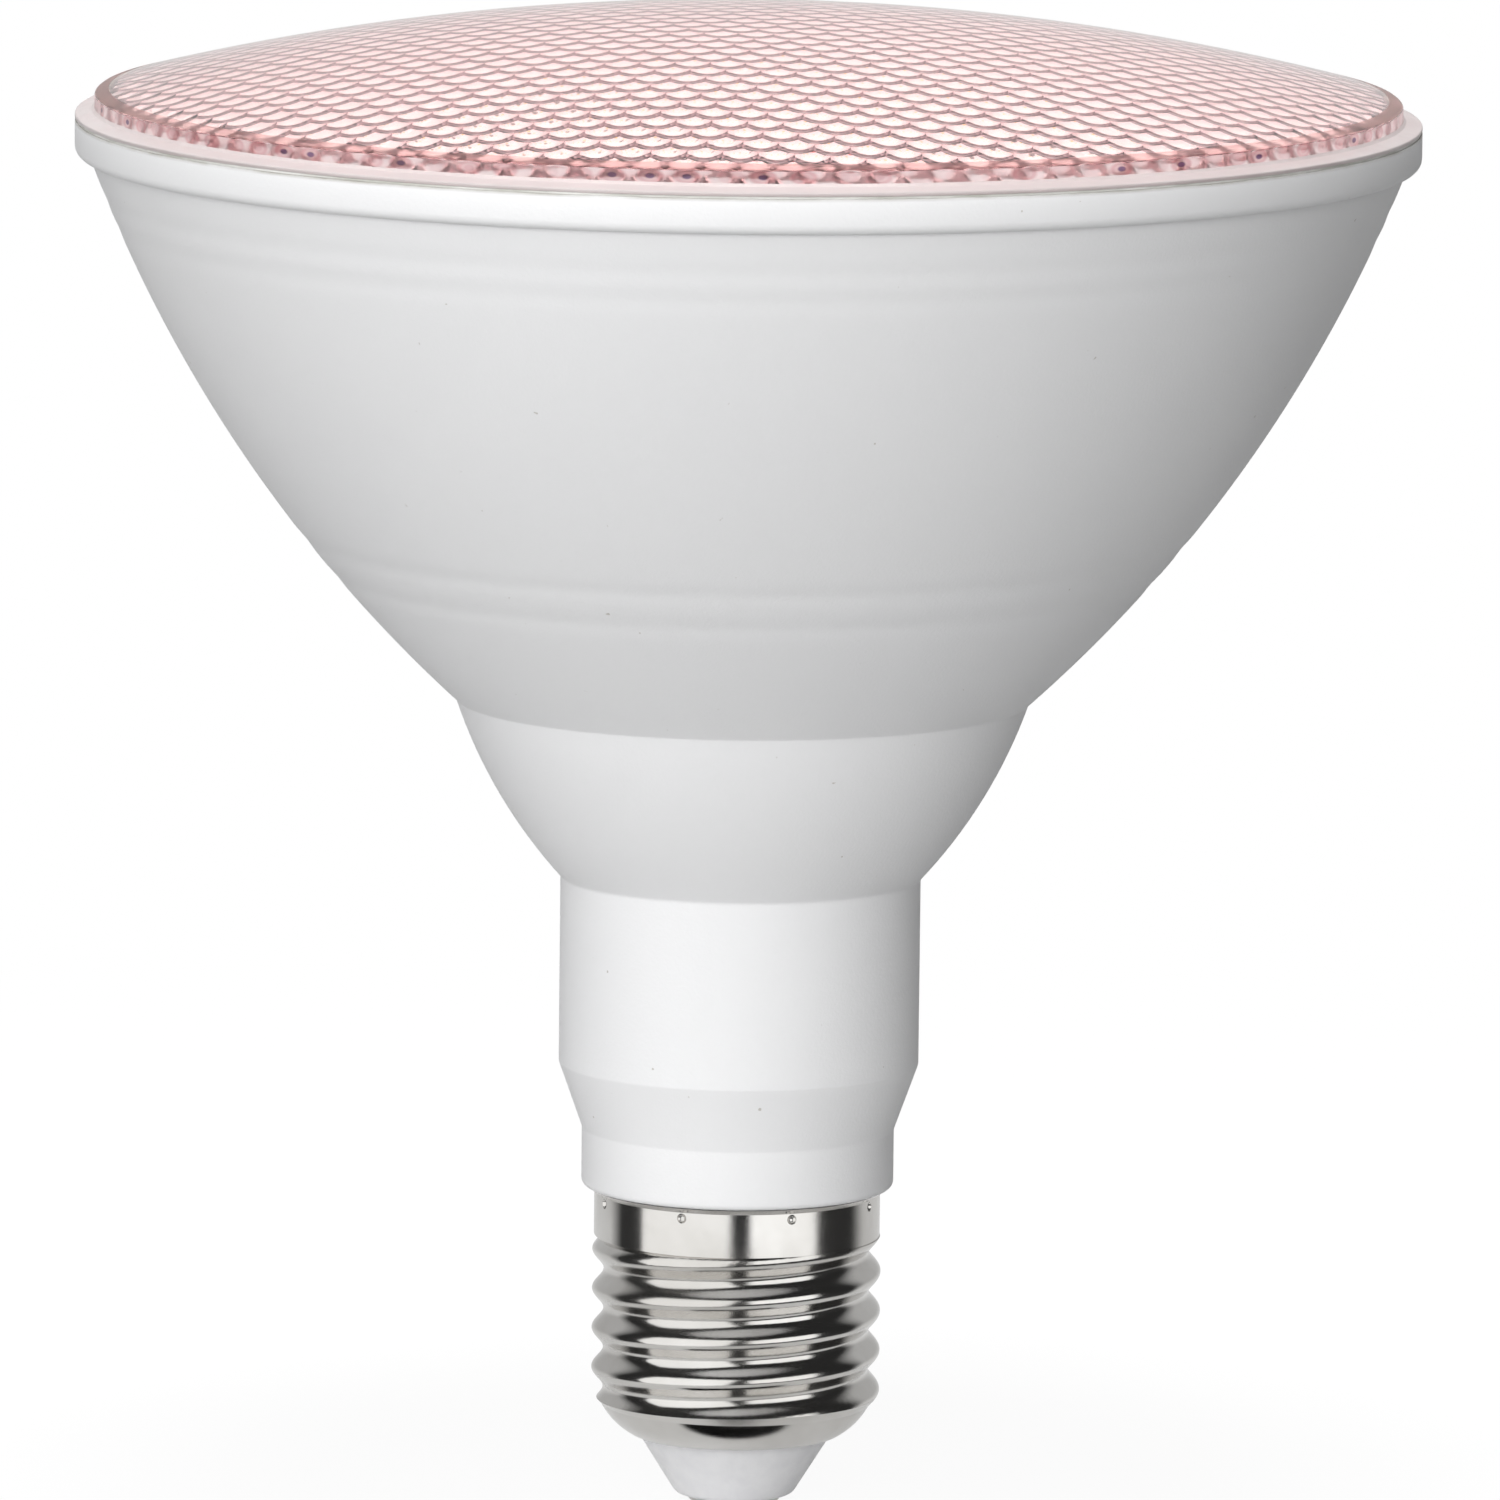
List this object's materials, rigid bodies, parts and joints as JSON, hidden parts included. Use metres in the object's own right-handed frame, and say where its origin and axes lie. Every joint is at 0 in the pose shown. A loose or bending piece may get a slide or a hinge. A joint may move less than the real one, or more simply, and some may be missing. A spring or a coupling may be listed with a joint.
{
  "type": "par spotlight bulb",
  "caption": "Reflector spotlight bulb with a pink clear lens of small lenslets, a white bell housing with a bowl and straight neck, and a screw cap with a centre contact.",
  "frame": {"origin": "tip of the centre contact, on the lamp's axis", "axes": "+Z along the lamp's axis from the screw cap to the lens, -Y towards the viewer of the picture"},
  "size_m": [0.121, 0.121, 0.1359],
  "materials": {
    "lens_plastic": "clear pink moulded plastic",
    "white_plastic": "satin white moulding",
    "nickel_plate": "bright nickel plate",
    "insulator_plastic": "smooth white",
    "silicone": "cured bead",
    "drawn_aluminium": "bright drawn sheet",
    "white_solder_mask": "white mask on aluminium core",
    "led_phosphor": "yellow phosphor in a white frame",
    "screw_steel": "zinc plated",
    "green_laminate": "green solder mask",
    "black_moulding": "black epoxy",
    "black_sleeve": "shrunk sleeve",
    "red_box": "moulded box",
    "blue_coat": "dipped epoxy",
    "resistor_coat": "lacquered ceramic",
    "ferrite": "sintered",
    "copper": "enamelled copper wire",
    "red_wire": "wire insulation",
    "black_wire": "wire insulation",
    "white_wire": "wire insulation"
  },
  "bodies": {
    "root": {"front_lens": "lens_plastic", "lens_adhesive": "silicone", "housing": "white_plastic", "screw_shell": "nickel_plate", "cap_insulator": "insulator_plastic", "centre_contact": "nickel_plate", "heat_sink_cup": "drawn_aluminium", "led_board": "white_solder_mask", "led_packages": "led_phosphor", "board_screws": "screw_steel", "driver_board": "green_laminate", "bridge_rectifier": "black_moulding", "driver_ic": "black_moulding", "output_diode": "black_moulding", "chip_components": "black_moulding", "fuse_resistor": "resistor_coat", "varistor": "blue_coat", "film_capacitor": "red_box", "choke_core": "ferrite", "choke_winding": "copper", "bulk_capacitor": "black_sleeve", "output_capacitor": "black_sleeve", "transformer_core": "ferrite", "transformer_bobbin": "black_moulding", "transformer_winding": "copper", "live_wire": "white_wire", "neutral_wire": "copper", "led_wire_positive": "red_wire", "led_wire_negative": "black_wire"}
  },
  "joints": []
}
